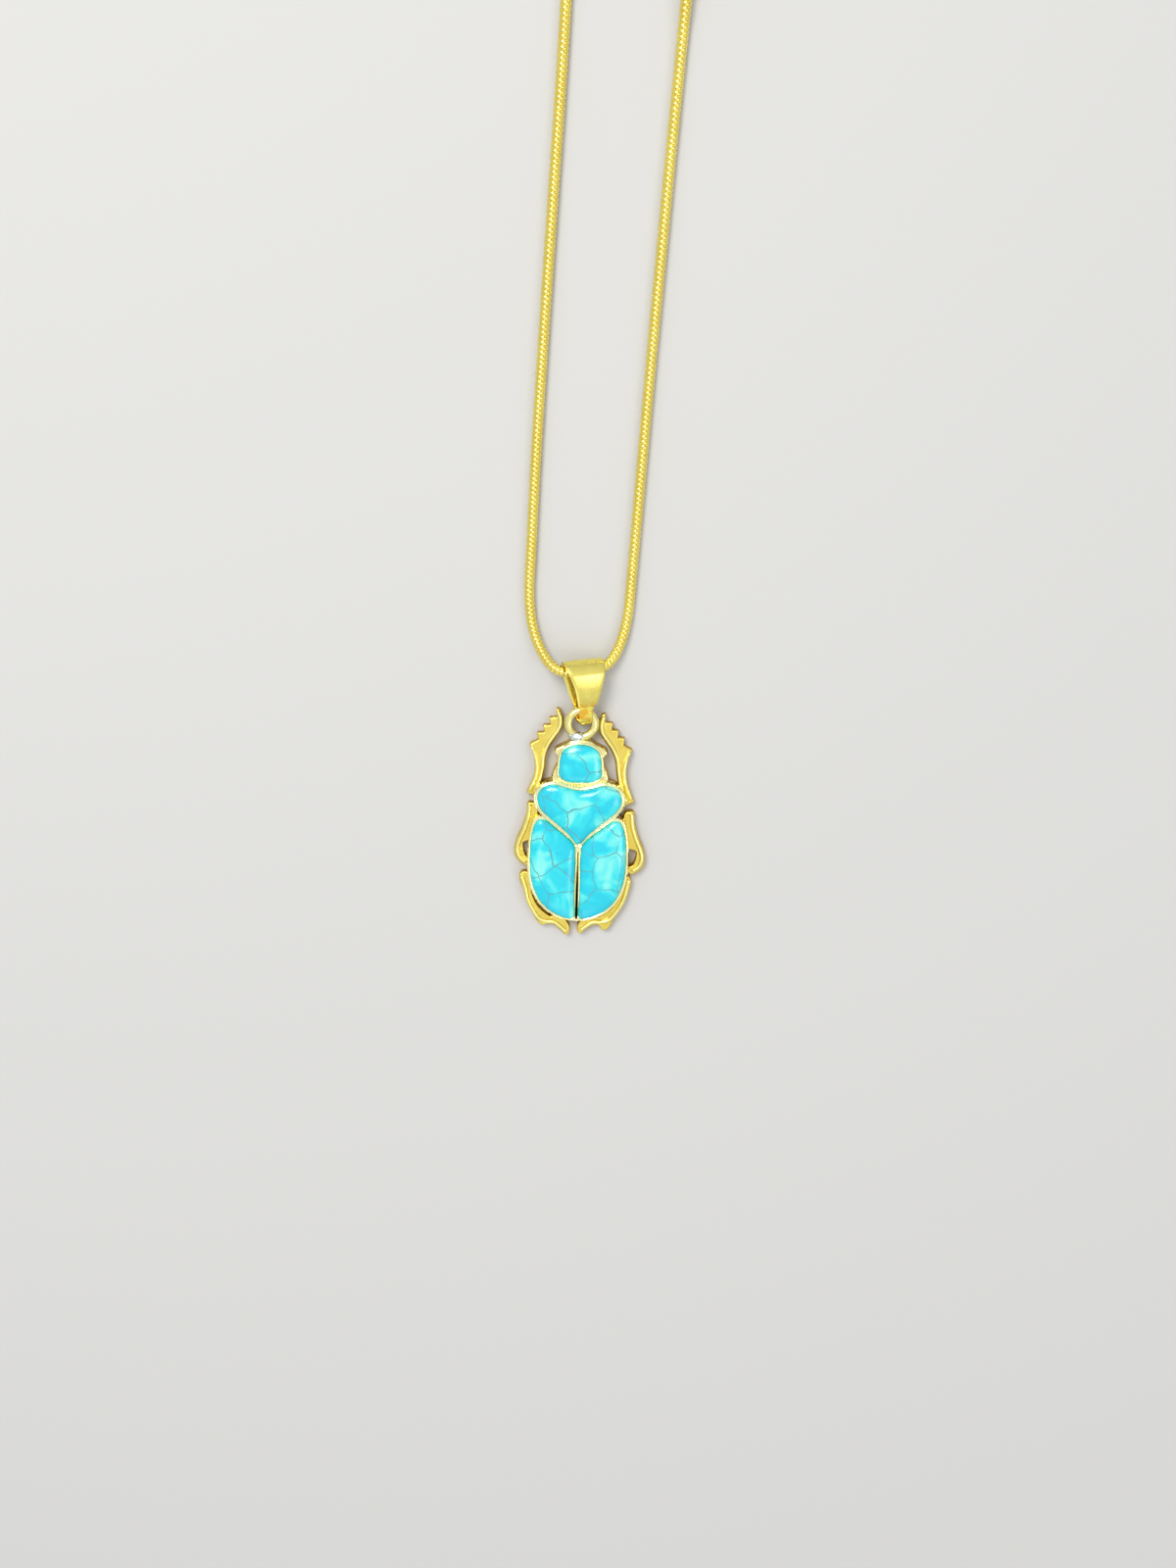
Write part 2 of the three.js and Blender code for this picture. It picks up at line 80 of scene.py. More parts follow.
chain_run = [
    (0.01064, 0.1102, 0.0016), (0.01058, 0.1090, 0.0015), (0.01036, 0.1052, 0.00095),
    (0.0101, 0.1010, chain_floor), (0.0094, 0.0902, chain_floor), (0.00883, 0.0805, chain_floor),
    (0.00825, 0.0708, chain_floor), (0.0077, 0.0609, chain_floor), (0.00715, 0.0506, chain_floor),
    (0.0066, 0.0401, chain_floor), (0.0063, 0.0347, chain_floor), (0.00612, 0.0320, 0.00077),
    (0.00578, 0.0296, 0.00085), (0.0052, 0.0274, 0.0010), (0.00435, 0.0255, 0.00135),
    (0.0032, 0.0242, 0.00186), (0.0017, 0.0236, 0.00234), (0.0001, 0.02338, 0.00282),
    (-0.0016, 0.02328, 0.00328), (-0.0030, 0.0234, 0.00354), (-0.0042, 0.02395, 0.00317),
    (-0.0053, 0.0250, 0.00233), (-0.0062, 0.0264, 0.0015), (-0.0069, 0.0280, 0.00102),
    (-0.0074, 0.0298, 0.0008), (-0.0077, 0.0318, chain_floor), (-0.00785, 0.0346, chain_floor),
    (-0.00767, 0.0398, chain_floor), (-0.00732, 0.0503, chain_floor), (-0.00687, 0.0605, chain_floor),
    (-0.00638, 0.0704, chain_floor), (-0.00588, 0.0801, chain_floor), (-0.00538, 0.0895, chain_floor),
    (-0.0049, 0.0986, chain_floor), (-0.0045, 0.1076, chain_floor), (-0.00416, 0.1180, chain_floor),
    (-0.0040, 0.1280, chain_floor), (-0.0040, 0.1343, chain_floor),
]
coil_centre = (0.0052, 0.1400)
coil_first_radius = 0.0091
coil_turns = 4.5
coil_climb = 0.3
coil_step = 0.00156
coil_points_a_turn = 16
coil_points_left_out = 4
clasp_start = Vector((0.01066, 0.1105, 0.0016))
clasp_turn = math.radians(-3.5)
clasp_half_length = 0.00635
clasp_gap = 0.0003
clasp_along = Vector((-math.sin(clasp_turn), math.cos(clasp_turn), 0.0))
clasp_end = clasp_start + clasp_along * (2 * clasp_half_length + 2 * clasp_gap)
chain_tail = [
    (0.0144, 0.1343, 0.00225), (0.0141, 0.1324, 0.0022), (0.0134, 0.1302, 0.00205),
    (clasp_end.x + 0.0007, clasp_end.y + 0.0038, 0.00175),
    (clasp_end.x + 0.00015, clasp_end.y + 0.0013, 0.00162), tuple(clasp_end),
]


def between(t, start, end, first, second):
    """The place between two points that t has between their two knots."""
    return (end - t) / (end - start) * first + (t - start) / (end - start) * second


def smooth_line(points, count, closed=False):
    """Points spaced evenly along a smooth curve through a few points."""
    p = np.array(points, float)
    if closed:
        p = np.vstack([p[-1], p, p[0], p[1]])
    else:
        p = np.vstack([2 * p[0] - p[1], p, 2 * p[-1] - p[-2]])
    pieces = []
    for k in range(1, len(p) - 2):
        knots = [0.0]
        for a, b in ((p[k - 1], p[k]), (p[k], p[k + 1]), (p[k + 1], p[k + 2])):
            knots.append(knots[-1] + max(np.linalg.norm(b - a), 1e-9) ** 0.5)
        t = np.linspace(knots[1], knots[2], 40, endpoint=False)[:, None]
        a1 = between(t, knots[0], knots[1], p[k - 1], p[k])
        a2 = between(t, knots[1], knots[2], p[k], p[k + 1])
        a3 = between(t, knots[2], knots[3], p[k + 1], p[k + 2])
        b1 = between(t, knots[0], knots[2], a1, a2)
        b2 = between(t, knots[1], knots[3], a2, a3)
        pieces.append(between(t, knots[1], knots[2], b1, b2))
    line = np.vstack(pieces + [p[-2][None, :]])
    along = np.concatenate([[0], np.cumsum(np.linalg.norm(np.diff(line, axis=0), axis=1))])
    wanted = np.linspace(0, along[-1], count + 1 if closed else count)
    even = np.stack([np.interp(wanted, along, line[:, i]) for i in range(line.shape[1])], axis=1)
    return even[:-1] if closed else even


def coil_line(outer_radius):
    """Two flat layers: inwards on the floor, a short climb, and outwards again on top."""
    turns = np.linspace(0, coil_turns, int(coil_turns * coil_points_a_turn) + 1)
    turns = turns[coil_points_left_out:-coil_points_left_out]
    half = (coil_turns - coil_climb) / 2
    inward = np.minimum(turns, half)
    outward = np.maximum(turns - half - coil_climb, 0)
    radius = outer_radius - coil_step * (inward - outward)
    climb = np.clip((turns - half) / coil_climb, 0, 1)
    height = chain_floor + chain_diameter * climb * climb * (3 - 2 * climb)
    angle = math.pi - 2 * math.pi * turns
    x = coil_centre[0] + radius * np.cos(angle)
    y = coil_centre[1] + radius * np.sin(angle)
    return np.stack([x, y, height], 1)


def whole_chain(outer_radius):
    """The chain's route from the clasp, down through the bail, up to the coil, and back to the clasp."""
    return np.vstack([chain_run, coil_line(outer_radius), chain_tail])


def length_of(points):
    line = smooth_line(points, 6000)
    return float(np.linalg.norm(np.diff(line, axis=0), axis=1).sum())


# the coil is drawn in or let out until the whole route has the chain's real length
coil_radius = coil_first_radius
for _ in range(4):
    coil_radius -= (length_of(whole_chain(coil_radius)) - chain_length) / (2 * math.pi * coil_turns)


def build_piece(name, points, faces, sharp=40.0):
    """A smooth-shaded mesh object whose edges are sharp above an angle."""
    mesh = bpy.data.meshes.new(name)
    mesh.from_pydata([tuple(p) for p in points], [], [tuple(f) for f in faces])
    mesh.polygons.foreach_set("use_smooth", [True] * len(mesh.polygons))
    mesh.set_sharp_from_angle(angle=math.radians(sharp))
    mesh.validate()
    made = bpy.data.objects.new(name, mesh)
    bpy.context.scene.collection.objects.link(made)
    return made


def rings_to_faces(rings, around):
    """Faces between rings of points, with the two ends closed."""
    k = np.arange(rings - 1)[:, None] * around
    j = np.arange(around)[None, :]
    after = (j + 1) % around
    faces = np.stack([k + j, k + after, k + around + after, k + around + j], -1).reshape(-1, 4).tolist()
    faces.append(list(range(around))[::-1])
    faces.append([(rings - 1) * around + i for i in range(around)])
    return faces


def snake_chain_mesh(name, route):
    """Links along the route: every row of points waves round the chain, with a notch on each seam."""
    links = round(chain_length / link_pitch)
    line = smooth_line(route, links * 6 + 1)
    along = np.concatenate([[0], np.cumsum(np.linalg.norm(np.diff(line, axis=0), axis=1))])
    tangent = np.gradient(line, axis=0)
    tangent /= np.linalg.norm(tangent, axis=1)[:, None]
    side = np.cross(tangent, np.array([0, 0, 1.0]))
    side /= np.linalg.norm(side, axis=1)[:, None]
    rise = np.cross(side, tangent)
    turn = np.arange(chain_around) / chain_around * 2 * math.pi
    wave = np.abs(((turn * link_waves / (2 * math.pi)) % 1.0) - 0.5) * 2 - 0.5
    seam = np.clip(np.abs(wave) * 2 - seam_start, 0, 1) / (1 - seam_start)
    pitch = along[-1] / links
    points = []
    for link in range(links):
        for place, radius, notch in link_rows:
            at = (link + place + link_wave_height * wave) * pitch
            at = np.clip(at, 0, along[-1])
            centre = np.stack([np.interp(at, along, line[:, i]) for i in range(3)], 1)
            across = np.stack([np.interp(at, along, side[:, i]) for i in range(3)], 1)
            up = np.stack([np.interp(at, along, rise[:, i]) for i in range(3)], 1)
            reach = (chain_diameter / 2 * (radius - notch * seam))[:, None]
            points.append(centre + reach * (across * np.cos(turn)[:, None] + up * np.sin(turn)[:, None]))
    rings = len(points)
    return build_piece(name, np.vstack(points), rings_to_faces(rings, chain_around), 60), line


def linear(code):
    """An sRGB hex colour as Blender's linear colour."""
    parts = [int(code[i:i + 2], 16) / 255 for i in (1, 3, 5)]
    return tuple(c / 12.92 if c <= 0.04045 else ((c + 0.055) / 1.055) ** 2.4 for c in parts) + (1.0,)


def add_node(tree, kind, settings=(), links=()):
    """Adds one node, sets its properties and sockets, and links what feeds it."""
    node = tree.nodes.new(kind)
    for key, value in dict(settings).items():
        if isinstance(key, int) or key in node.inputs:
            node.inputs[key].default_value = value
        else:
            setattr(node, key, value)
    for key, socket in dict(links).items():
        tree.links.new(socket, node.inputs[key])
    return node


def new_material(name):
    material = bpy.data.materials.new(name)
    material.use_nodes = True
    tree = material.node_tree
    tree.nodes.clear()
    return material, tree


def finish_material(tree, surface):
    add_node(tree, "ShaderNodeOutputMaterial", links={"Surface": surface.outputs[0]})


def plated_gold(name, bright, deep, roughness, grain, grain_depth):
    """Gold plate over silver or brass: a clean metal whose tone and polish drift over the surface."""
    rubbed_dull = 0.12
    material, tree = new_material(name)
    place = add_node(tree, "ShaderNodeTexCoord")
    drift = add_node(tree, "ShaderNodeTexNoise", {"Scale": 1 / 0.004, "Detail": 3.0},
                     {"Vector": place.outputs["Object"]})
    tone = add_node(tree, "ShaderNodeMix", {"data_type": "RGBA", 6: linear(bright), 7: linear(deep)},
                    {0: drift.outputs[0]})
    rubbed = add_node(tree, "ShaderNodeTexNoise", {"Scale": 1 / 0.0012, "Detail": 4.0},
                      {"Vector": place.outputs["Object"]})
    polish = add_node(tree, "ShaderNodeMapRange",
                      {"From Min": 0.3, "From Max": 0.7, "To Min": roughness,
                       "To Max": roughness + rubbed_dull},
                      {"Value": rubbed.outputs[0]})
    skin = add_node(tree, "ShaderNodeTexNoise", {"Scale": 1 / grain, "Detail": 2.0},
                    {"Vector": place.outputs["Object"]})
    bump = add_node(tree, "ShaderNodeBump", {"Strength": 0.5, "Distance": grain_depth},
                    {"Height": skin.outputs[0]})
    surface = add_node(tree, "ShaderNodeBsdfPrincipled", {"Metallic": 1.0},
                       {"Base Color": tone.outputs[2], "Roughness": polish.outputs[0],
                        "Normal": bump.outputs[0]})
    finish_material(tree, surface)
    return material


# a bright yellow gold whose links glitter one by one, because each is burnished at its own tilt
chain_gold = plated_gold("burnished_chain_gold", "#FFF08C", "#F2D864", 0.2, 0.0003, 0.000004)
snake_chain, chain_centre = snake_chain_mesh("snake_chain", whole_chain(coil_radius))
snake_chain.data.materials.append(chain_gold)


# Barrel clasp
# Two turned brass halves that screw together, gold plated, with a fine knurl on the barrel.
# The photograph stops short of the clasp, so it is a plain one of the usual size.
clasp_radius = 0.0016
clasp_mouth_radius = 0.00105
knurl_count = 40
knurl_depth = 0.00004
knurl_start = 0.0027
knurl_end = 0.0056


def clasp_half(name, start, along):
    """One half turned round its axis from the chain's mouth to the flat joint."""
    outline = [(0.0, 0.0), (0.00002, clasp_mouth_radius - 0.0001), (0.00014, clasp_mouth_radius),
               (0.0005, clasp_mouth_radius + 0.00006), (0.0010, 0.00128), (0.0015, 0.00142),
               (0.0020, 0.0015), (0.0023, 0.00152), (0.00236, 0.0014), (0.00256, 0.0014),
               (0.00262, 0.00156), (0.0028, clasp_radius)]
    outline += [(0.0028 + 0.00045 * k, clasp_radius) for k in range(1, 7)]
    outline += [(0.00562, 0.00156), (0.00568, 0.00142), (0.0059, 0.00142), (0.00596, 0.00154),
                (clasp_half_length - 0.0001, 0.00154), (clasp_half_length, 0.00144),
                (clasp_half_length, 0.0)]
    around = knurl_count * 2
    across = along.cross(Vector((0, 0, 1))).normalized()
    up = across.cross(along)
    points = []
    for place, radius in outline:
        for k in range(around):
            turn = 2 * math.pi * k / around
            ridge = knurl_depth if k % 2 and knurl_start < place < knurl_end else 0.0
            reach = max(radius - ridge, 1e-6)
            aside = across * (reach * math.cos(turn)) + up * (reach * math.sin(turn))
            points.append(start + along * place + aside)
    return build_piece(name, points, rings_to_faces(len(outline), around), 35)


# the chain's gold with a higher polish, so the barrel mirrors the room in long streaks
clasp_gold = plated_gold("polished_clasp_gold", "#FFF08C", "#F2D864", 0.16, 0.0003, 0.000003)
near_half = clasp_half("barrel_clasp_near", clasp_start, clasp_along)
far_half = clasp_half("barrel_clasp_far", clasp_start + clasp_along * (2 * clasp_half_length + clasp_gap),
                      -clasp_along)
for half, node in ((near_half, "clasp_near_half"), (far_half, "clasp_far_half")):
    half.data.materials.append(clasp_gold)
    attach(half, "root")
    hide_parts(node)

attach(snake_chain, "root")
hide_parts("chain_run", "chain_coil", "chain_tail")


# Stage
# A plain pale table top, soft boxes round it and a bright pale room, as in a product photograph. The gold
# mirrors the room, so the room is brightest overhead and a little dimmer at the horizon.
room_overhead = 1.02
room_horizon = 0.6

table = build_piece("table", [(-2, -2, 0), (2, -2, 0), (2, 2, 0), (-2, 2, 0)], [(0, 1, 2, 3)])
table_paint, table_tree = new_material("pale_table")
table_surface = add_node(table_tree, "ShaderNodeBsdfPrincipled",
                         {"Base Color": linear("#C6C5C2"), "Roughness": 0.8})
finish_material(table_tree, table_surface)
table.data.materials.append(table_paint)

world = bpy.data.worlds.new("room")
world.use_nodes = True
room = world.node_tree
room_place = add_node(room, "ShaderNodeTexCoord")
room_height = add_node(room, "ShaderNodeSeparateXYZ", links={0: room_place.outputs["Generated"]})
room_glow = add_node(room, "ShaderNodeMapRange",
                     {"From Min": 0.0, "From Max": 0.95, "To Min": room_horizon, "To Max": room_overhead},
                     {"Value": room_height.outputs["Z"]})
room.nodes["Background"].inputs["Color"].default_value = linear("#F1F2F4")
room.links.new(room_glow.outputs[0], room.nodes["Background"].inputs["Strength"])
bpy.context.scene.world = world

# the plain sRGB view keeps the yellow of the gold and the blue of the stones as they are set
bpy.context.scene.view_settings.view_transform = "Standard"

for name, place, size, power in (
    ("window_box", (-0.17, 0.3, 0.5), 0.24, 2.0),
    ("side_box", (0.42, -0.13, 0.56), 0.24, 0.5),
    ("tail_box", (-0.05, -0.5, 0.42), 0.3, 0.2),
):
    light_data = bpy.data.lights.new(name, "AREA")
    light_data.size = size
    light_data.energy = power
    light = bpy.data.objects.new(name, light_data)
    light.location = place
    light.rotation_euler = (Vector((0, 0, 0)) - Vector(place)).to_track_quat("-Z", "Y").to_euler()
    bpy.context.scene.collection.objects.link(light)


# Scarab casting
# One lost-wax casting in silver, plated light gold: a flat back plate, raised walls round four cells,
# a grooved rib between the wing cases, and six flat limbs with raised beads along them. From here on the
# shapes are in millimetres, scaled to metres as each mesh is built. The patterns stay in metres.
seat_height = 1.0
leg_height = 1.75
leg_rounding = 0.16
bead_rise = 0.3
bead_width = 0.6
head_plate = 2.35
head_plate_rounding = 0.32
head_wall = 2.55
head_wall_width = 0.4
head_wall_rounding = 0.3
wing_wall = 2.6
pronotum_wall = 2.8
wall_rounding = 0.16
band_width = 0.6
split_half_width = 0.42

# the worn lip round each cell, and the line scored along the band round the thorax
cell_inset = 0.06
lip_width = 0.12
lip_drop = 0.1
score_place = 0.36
score_half_width = 0.14
score_depth = 0.16

# the groove along the rib between the wing cases: it ramps in at both ends and deepens to the tail
groove_half_width = 0.13
groove_front = -2.9
groove_front_ramp = 0.6
groove_rear = -13.6
groove_rear_ramp = 0.3
groove_depth = 0.3
groove_deepening = 0.6
groove_deepens_at = -5.0
groove_deepens_over = 5.0
# where the painted shade in the rib's groove begins
groove_shade_front = -3.3

# the casting's top is a height over a square grid, just coarse enough to stay under 200,000 triangles;
# places near the outline, by a share of a step, are snapped to it, and squares outside it are left out
grid_step = 0.096
grid_columns = 115
grid_rear = -17.4
grid_front = 18.6
edge_snap = 0.62
edge_slack = 0.1

head_stone_half = [(0, 12.75), (1.45, 12.5), (2.55, 11.7), (2.88, 10.7), (3.02, 9.4), (2.95, 8.1),
                   (2.1, 7.45), (0, 7.25)]
pronotum_stone_half = [(0, 6.08), (1.7, 6.35), (3.7, 6.85), (5.1, 6.45), (5.9, 5.5), (6.02, 4.4),
                       (5.5, 3.2), (4.4, 2.1), (2.9, 0.85), (1.4, -0.5), (0, -1.95)]
wing_stone_points = [
    (split_half_width, -3.9), (0.6, -2.4), (1.9, -0.9), (3.6, 0.45), (4.95, 1.45), (5.7, 1.55), (6.25, 0.95),
    (6.74, -0.7), (6.95, -3.1), (6.94, -5.7), (6.6, -8.1), (5.78, -10.2), (4.35, -11.95), (2.6, -13.0),
    (1.0, -13.45), (split_half_width, -13.3), (split_half_width, -10.4), (split_half_width, -7.1)]
wing_case_half = [(0, 2.2), (6.2, 1.95), (7.0, 0), (7.3, -2.1), (7.45, -4.4), (7.35, -6.6),
                  (6.95, -8.7), (6.1, -10.6), (4.75, -12.2), (3.0, -13.3), (1.2, -13.82), (0, -13.9)]
head_case_half = [(0, 13.5), (1.4, 13.3), (2.2, 12.8), (3.1, 12.4), (3.72, 11.95), (3.8, 11.4),
                  (3.45, 10.95), (3.32, 10.3), (3.6, 9.4), (3.97, 8.5), (4.08, 7.6), (2.8, 6.2), (0, 6.0)]

tooth_count = 4
tooth_start = np.array([-3.66, 16.47])
tooth_pitch = np.array([-0.84, -1.12])
tooth_reach = np.array([-1.0, -0.08])
left_heel_bulb = 0.45
right_knee_drop = 0.6
right_shin_extra = 0.6


def mirrored(half):
    """A whole outline from its right half, front to rear."""
    return list(half) + [(-x, y) for x, y in reversed(half) if x > 0.01]


def grown(outline, distance):
    """An outline moved outwards by a distance."""
    along = np.roll(outline, -1, axis=0) - np.roll(outline, 1, axis=0)
    along /= np.linalg.norm(along, axis=1)[:, None]
    after = np.roll(outline, -1, axis=0)
    turning = np.sum(outline[:, 0] * after[:, 1] - after[:, 0] * outline[:, 1])
    sign = 1 if turning > 0 else -1
    return outline + sign * distance * np.stack([along[:, 1], -along[:, 0]], 1)


def front_leg(shin_extra):
    """The broad digging shin: its outline with a staircase of teeth, its two beads and no opening."""
    def longer(points):
        return [(x, y - shin_extra * max(0, 9 - y) / 4) for x, y in points]

    inner = smooth_line(longer([(-6.35, 4.75), (-5.9, 6.3), (-5.4, 7.5), (-5.12, 9.0), (-4.95, 10.8),
                                (-4.4, 12.25), (-3.5, 13.7), (-2.75, 14.95), (-2.62, 16.3),
                                (-3.1, 17.6)]), 60)
    outer = smooth_line(longer([(-7.42, 12.45), (-6.88, 11.1), (-6.66, 10.0), (-6.62, 8.9), (-6.75, 7.8),
                                (-7.2, 6.5), (-7.75, 5.25)]), 40)
    teeth = [(-3.62, 17.8)]
    for k in range(tooth_count):
        root = tooth_start + tooth_pitch * k
        teeth += [root] if k == tooth_count - 1 else [root, root + tooth_reach]
    inner_bead = [(-6.55, 5.5), (-6.2, 6.5), (-5.8, 7.6), (-5.52, 9.0), (-5.34, 10.9), (-4.77, 12.5),
                  (-3.87, 13.95), (-3.16, 15.1), (-3.06, 16.2), (-3.3, 17.1)]
    outer_bead = [(-7.0, 11.9), (-6.44, 10.4), (-6.24, 9.0), (-6.45, 7.6), (-6.85, 6.6), (-7.2, 5.8)]
    return np.vstack([inner, teeth, outer]), [longer(inner_bead), longer(outer_bead)], None


def middle_leg():
    """A flat plate that leaves the shoulder, bends out and turns back to the body round a hole."""
    plate = smooth_line([(-6.2, 3.5), (-6.9, 3.78), (-7.5, 3.7), (-7.68, 2.2), (-8.35, -0.1), (-9.1, -1.9),
                         (-9.42, -3.4), (-9.1, -4.7), (-8.3, -5.5), (-7.4, -5.8), (-6.7, -5.2),
                         (-6.3, -3.0), (-6.1, 0.5)], 150, True)
    hole = smooth_line([(-6.7, -4.55), (-7.55, -4.4), (-8.05, -3.1), (-8.0, -2.3), (-6.7, -2.1)], 60, True)
    bead = [(-7.2, 3.2), (-7.4, 1.5), (-7.95, -0.3), (-8.68, -2.1), (-8.92, -3.4), (-8.55, -4.5),
            (-7.8, -5.15)]
    return plate, [bead], hole


def hind_leg(bulb, knee_drop):
    """It follows the wing case round to the tail, stands off it by a crescent and ends in a foot."""
    plate = smooth_line([
        (-6.4, -7.6), (-7.3, -6.8), (-7.75 - bulb, -6.85), (-8.15 - bulb, -7.4), (-8.25 - bulb * 0.6, -8.2),
        (-7.98, -9.5), (-7.7, -10.8), (-7.22, -12.0), (-6.55, -13.2), (-6.0, -14.2 - knee_drop * 0.5),
        (-5.4, -14.9 - knee_drop), (-4.75, -15.05 - knee_drop), (-4.05, -14.8 - knee_drop * 0.2),
        (-3.2, -15.1), (-2.3, -15.85), (-1.45, -16.55), (-1.08, -16.3), (-0.98, -15.3), (-1.5, -14.2),
        (-2.4, -13.2), (-4.6, -11.6), (-6.0, -9.6)], 220, True)
    crescent = smooth_line([(-6.75, -9.5), (-6.5, -10.6), (-5.8, -12.0), (-4.8, -13.0), (-3.7, -13.6),
                            (-3.6, -12.6), (-5.4, -10.9)], 80, True)
    bead = [(-7.85 - bulb * 0.7, -7.6), (-7.62, -9.3), (-7.28, -10.9), (-6.55, -12.5), (-5.55, -13.9),
            (-4.5, -14.35), (-3.3, -14.45), (-2.3, -15.15), (-1.6, -15.8)]
    return plate, [bead], crescent


def to_right(points):
    return np.asarray(points, float) * np.array([-1.0, 1.0])


def settled(limb, about, turn, out, drop):
    """A left limb mirrored to the right side, where it was cast a little turned, further out and lower."""
    spin = np.array([[math.cos(turn), -math.sin(turn)], [math.sin(turn), math.cos(turn)]])

    def place(points):
        return (to_right(points) - about) @ spin.T + np.array(about) + np.array([out, -drop])

    outline, beads, opening = limb
    return place(outline), [place(bead) for bead in beads], None if opening is None else place(opening)


def signed_distance(outline, x, y):
    """How far each place lies from an outline, negative inside it."""
    nearest = np.full(x.shape, 1e9)
    inside = np.zeros(x.shape, bool)
    after = np.roll(outline, -1, axis=0)
    for (ax, ay), (bx, by) in zip(outline, after):
        ex, ey = bx - ax, by - ay
        share = np.clip(((x - ax) * ex + (y - ay) * ey) / max(ex * ex + ey * ey, 1e-12), 0, 1)
        nearest = np.minimum(nearest, (x - ax - share * ex) ** 2 + (y - ay - share * ey) ** 2)
        if ay != by:
            inside ^= ((ay > y) != (by > y)) & (x < ax + (y - ay) * ex / ey)
    distance = np.sqrt(nearest)
    return np.where(inside, -distance, distance)


def line_distance(line, x, y):
    """How far each place lies from a limb's bead."""
    nearest = np.full(x.shape, 1e9)
    for px, py in smooth_line(line, 110):
        nearest = np.minimum(nearest, (x - px) ** 2 + (y - py) ** 2)
    return np.sqrt(nearest)


def rounded_top(distance, height, rounding):
    """The top of a plate: flat, and rolling over in a quarter circle at its edge."""
    depth = np.clip(-distance, 0, rounding)
    return height - rounding + np.sqrt(rounding ** 2 - (rounding - depth) ** 2)


head_stone_outline = smooth_line(mirrored(head_stone_half), 150, True)
pronotum_stone_outline = smooth_line(mirrored(pronotum_stone_half), 190, True)
right_wing_outline = smooth_line(wing_stone_points, 210, True)
left_wing_outline = to_right(right_wing_outline)
wing_case = smooth_line(mirrored(wing_case_half), 200, True)
head_case = smooth_line(mirrored(head_case_half), 200, True)
limbs = [
    front_leg(0), middle_leg(), hind_leg(left_heel_bulb, 0),
    settled(front_leg(right_shin_extra), (5.5, 11), math.radians(2), 0, 0.5),
    settled(middle_leg(), (7, -1), 0, 0.45, 0.93),
    settled(hind_leg(0, right_knee_drop), (7.5, -9), math.radians(-4), -0.35, 0.15),
]


def casting_edges(x, y):
    """Distances from the parts of the casting: wing case, thorax, head, and the six limbs."""
    parts = [signed_distance(wing_case, x, y),
             signed_distance(grown(pronotum_stone_outline, band_width), x, y),
             signed_distance(head_case, x, y)]
    for outline, _, opening in limbs:
        edge = signed_distance(outline, x, y)
        if opening is not None:
            edge = np.maximum(edge, -signed_distance(opening, x, y))
        parts.append(edge)
    return parts


# places just outside the outline are drawn back onto it, so the edge of the casting runs smoothly
grid_x, grid_y = np.meshgrid(np.arange(-grid_columns, grid_columns + 1) * grid_step,
                             np.arange(grid_rear, grid_front, grid_step))
outer_edge = np.minimum.reduce(casting_edges(grid_x, grid_y))
slope_y, slope_x = np.gradient(outer_edge, grid_step)
steep = np.maximum(np.hypot(slope_x, slope_y), 0.5)
near_edge = np.abs(outer_edge) < edge_snap * grid_step
cast_x = np.where(near_edge, grid_x - outer_edge * slope_x / steep ** 2, grid_x)
cast_y = np.where(near_edge, grid_y - outer_edge * slope_y / steep ** 2, grid_y)
kept = (outer_edge < 0) | near_edge

wing_edge, pronotum_edge, head_edge, *limb_edges = casting_edges(cast_x, cast_y)
plate_top = leg_height - bead_rise
cast_top = np.full(cast_x.shape, plate_top - leg_rounding)
for edge, (_, beads, _) in zip(limb_edges, limbs):
    top = rounded_top(edge, plate_top, leg_rounding)
    for bead in beads:
        across = np.clip(line_distance(bead, cast_x, cast_y) / (bead_width / 2), 0, 1)
        top = top + bead_rise * np.sqrt(1 - across ** 2)
    cast_top = np.where(edge < 0, np.maximum(cast_top, top), cast_top)
head_bezel = signed_distance(grown(head_stone_outline, head_wall_width), cast_x, cast_y)
for edge, height, rounding in (
    (wing_edge, wing_wall, wall_rounding),
    (head_edge, head_plate, head_plate_rounding),
    (head_bezel, head_wall, head_wall_rounding),
    (pronotum_edge, pronotum_wall, wall_rounding),
):
    wall = rounded_top(edge, height, rounding)
    cast_top = np.where(edge < 0, np.maximum(cast_top, wall), cast_top)


def sunk(top, cell, height):
    """The casting's top with one cell sunk to its seat, inside a worn lip."""
    lip = height - lip_drop * np.clip(1 - cell / lip_width, 0, 1) ** 2
    top = np.where((cell > -cell_inset) & (cell < lip_width), np.minimum(top, lip), top)
    return np.where(cell <= -cell_inset, seat_height, top)


head_cell, pronotum_cell, right_cell, left_cell = [
    signed_distance(outline, cast_x, cast_y)
    for outline in (head_stone_outline, pronotum_stone_outline, right_wing_outline, left_wing_outline)]
cast_top = sunk(cast_top, head_cell, head_wall)
cast_top = sunk(cast_top, pronotum_cell, pronotum_wall)
score = np.clip(1 - np.abs(pronotum_cell - score_place) / score_half_width, 0, 1)
cast_top = cast_top - score_depth * score
cast_top = sunk(cast_top, right_cell, wing_wall)
cast_top = sunk(cast_top, left_cell, wing_wall)

groove = np.clip(1 - np.abs(cast_x) / groove_half_width, 0, 1)
groove = groove * np.clip((groove_front - cast_y) / groove_front_ramp, 0, 1)
groove = groove * np.clip((cast_y - groove_rear) / groove_rear_ramp, 0, 1)
deeper = np.clip((groove_deepens_at - cast_y) / groove_deepens_over, 0, 1)
cast_top = cast_top - groove * (groove_depth + groove_deepening * deeper)


